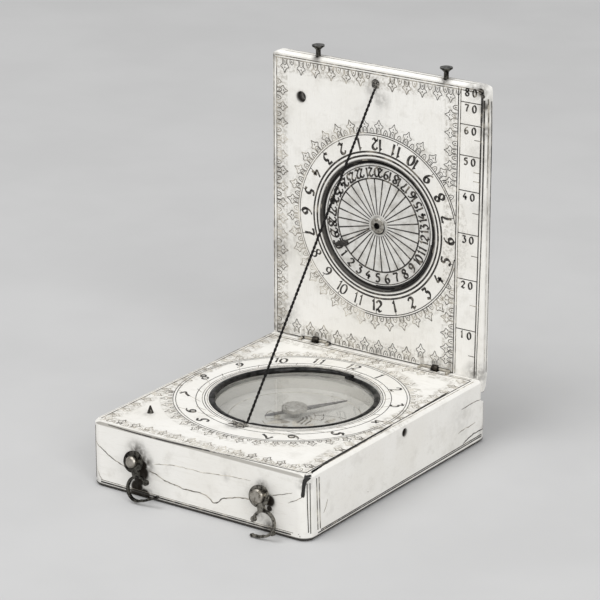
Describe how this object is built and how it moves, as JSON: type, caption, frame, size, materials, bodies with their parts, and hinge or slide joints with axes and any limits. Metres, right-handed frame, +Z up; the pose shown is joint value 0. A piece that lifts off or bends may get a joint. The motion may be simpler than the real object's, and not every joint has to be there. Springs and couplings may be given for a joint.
{
  "type": "diptych sundial",
  "caption": "Folding pocket sundial of two thin hinged leaves, with a glazed compass, a string gnomon, a turning lunar disc and two swinging latch hooks.",
  "frame": {"origin": "centre of the lower leaf's underside", "axes": "+X to the right along the front, +Y from the latches to the hinges, +Z up out of the underside"},
  "size_m": [0.042, 0.0554, 0.0628],
  "materials": {
    "ivory": "polished, with faint grain, cracks and stains",
    "brass": "aged, dull",
    "disc_metal": "worn silvered brass",
    "blackened_wire": "blackened",
    "blued_steel": "dulled",
    "glass": "clear",
    "card_paper": "aged print",
    "string": "twisted thread"
  },
  "bodies": {
    "base": {"base_leaf": "ivory", "compass_card": "card_paper", "compass_pivot": "brass", "glass_pane": "glass", "retaining_ring": "blackened_wire", "cone_pin": "brass", "string_bead_low": "blackened_wire", "hinge_staple_left": "brass", "hinge_staple_right": "brass", "hook_pin_left": "brass", "hook_pin_right": "brass", "gnomon_string": "string"},
    "lid": {"lid_leaf": "ivory", "lid_eye_left": "brass", "lid_eye_right": "brass", "stud_left": "brass", "stud_right": "brass", "string_knot_high": "string", "disc_rivet": "brass", "rivet_front_washer": "brass", "rivet_back_washer": "brass"},
    "needle": {"needle_blade": "blued_steel", "needle_cap": "brass"},
    "moon": {"lunar_disc": "disc_metal", "disc_knob": "blackened_wire"},
    "hook_left": {"latch_hook_left": "brass"},
    "hook_right": {"latch_hook_right": "brass"}
  },
  "joints": [
    {"name": "lid_hinge", "type": "hinge", "parent": "base", "child": "lid", "pos_m": [0, 0.02405, 0.01125], "axis": [1, 0, 0], "range_deg": [0, 90], "deforming": ["gnomon_string"]},
    {"name": "needle_spin", "type": "hinge", "parent": "base", "child": "needle", "pos_m": [0, 0.0005, 0.00915], "axis": [0, 0, 1], "continuous": true},
    {"name": "disc_turn", "type": "hinge", "parent": "lid", "child": "moon", "pos_m": [0.00025, 0.0247, 0.03385], "axis": [0, -1, 0], "continuous": true},
    {"name": "hook_left_swing", "type": "hinge", "parent": "base", "child": "hook_left", "pos_m": [-0.0114, -0.02762, 0.00651], "axis": [0, -0.9781, 0.2079], "range_deg": [-12, 168]},
    {"name": "hook_right_swing", "type": "hinge", "parent": "base", "child": "hook_right", "pos_m": [0.0129, -0.02762, 0.00651], "axis": [0, 0.9781, -0.2079], "range_deg": [-60, 200]}
  ]
}
